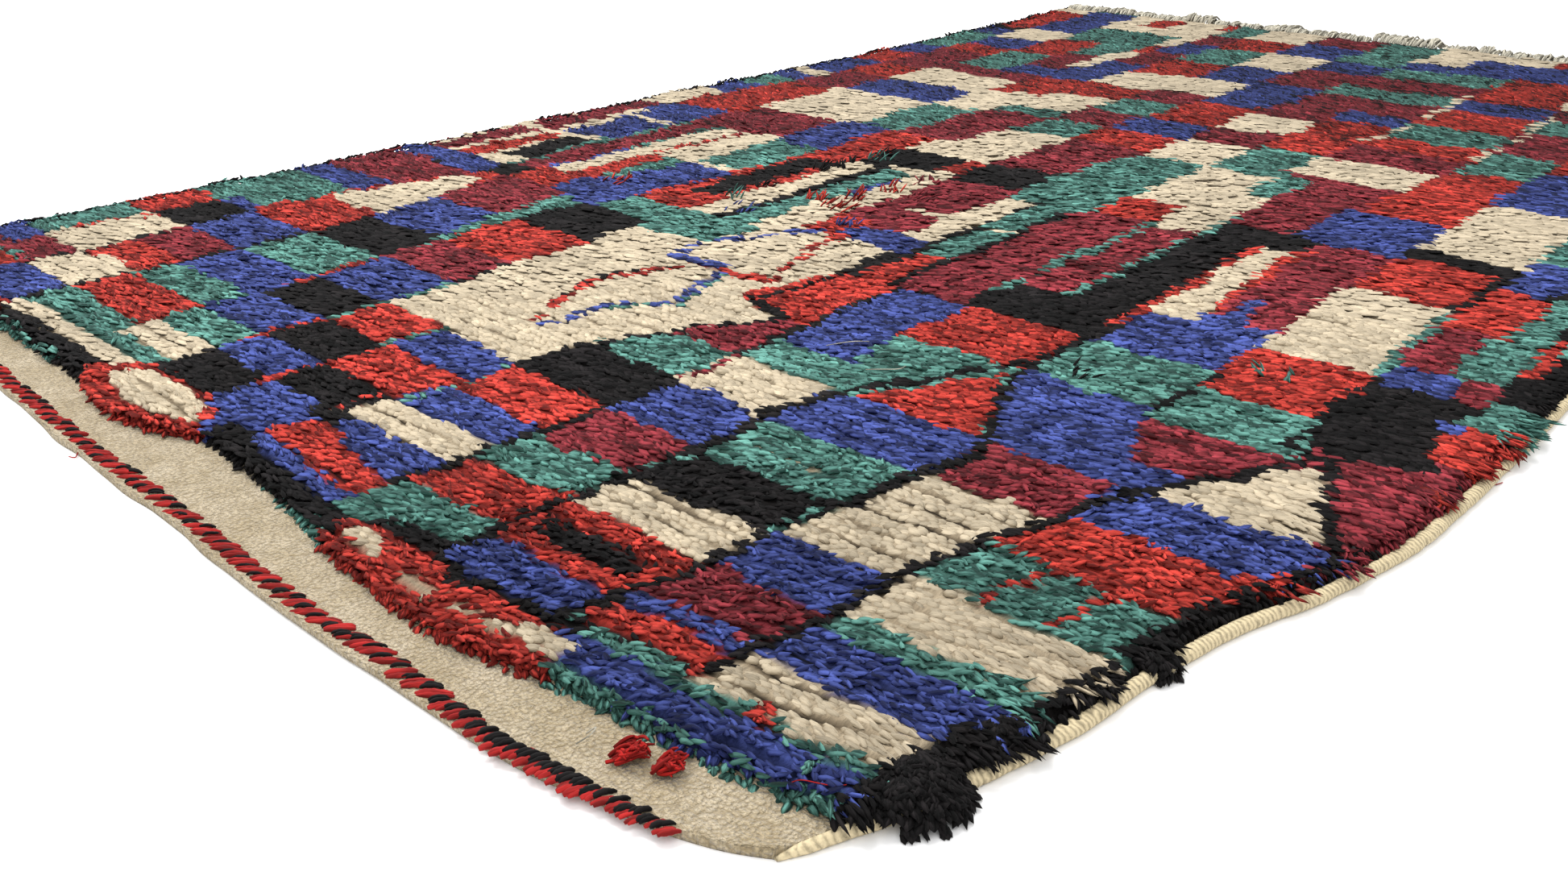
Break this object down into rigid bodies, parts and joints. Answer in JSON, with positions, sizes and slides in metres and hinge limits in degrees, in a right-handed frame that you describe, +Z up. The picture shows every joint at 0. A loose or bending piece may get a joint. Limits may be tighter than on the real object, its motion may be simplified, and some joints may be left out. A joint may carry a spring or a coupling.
{
  "type": "azilal rug",
  "caption": "Hand-knotted wool pile rug lying flat: patchwork of coloured blocks, bare woven band and twined line at one end, corded sides, fringe at the other end.",
  "frame": {"origin": "middle of the rug's bounding box, on the floor it lies on", "axes": "+Y along the rug from the bare woven band to the fringe, +X across it, +Z up out of the floor"},
  "size_m": [1.5844, 2.7592, 0.0243],
  "materials": {
    "pile_wool": "shaggy knotted wool pile in cream, red, blue, green, maroon and black blocks, matt",
    "ground_wool": "undyed cream wool, coarse flat weave, wrapped cord and knotted warp ends, matt",
    "twined_wool": "red and black wool twined in turn, matt",
    "tuft_wool": "loose curly red wool, matt"
  },
  "bodies": {
    "root": {"rug": "pile_wool", "end_twining": "twined_wool", "selvedge_left": "ground_wool", "selvedge_right": "ground_wool", "end_fringe": "ground_wool", "end_tuft_1": "tuft_wool", "end_tuft_2": "tuft_wool"}
  },
  "joints": []
}
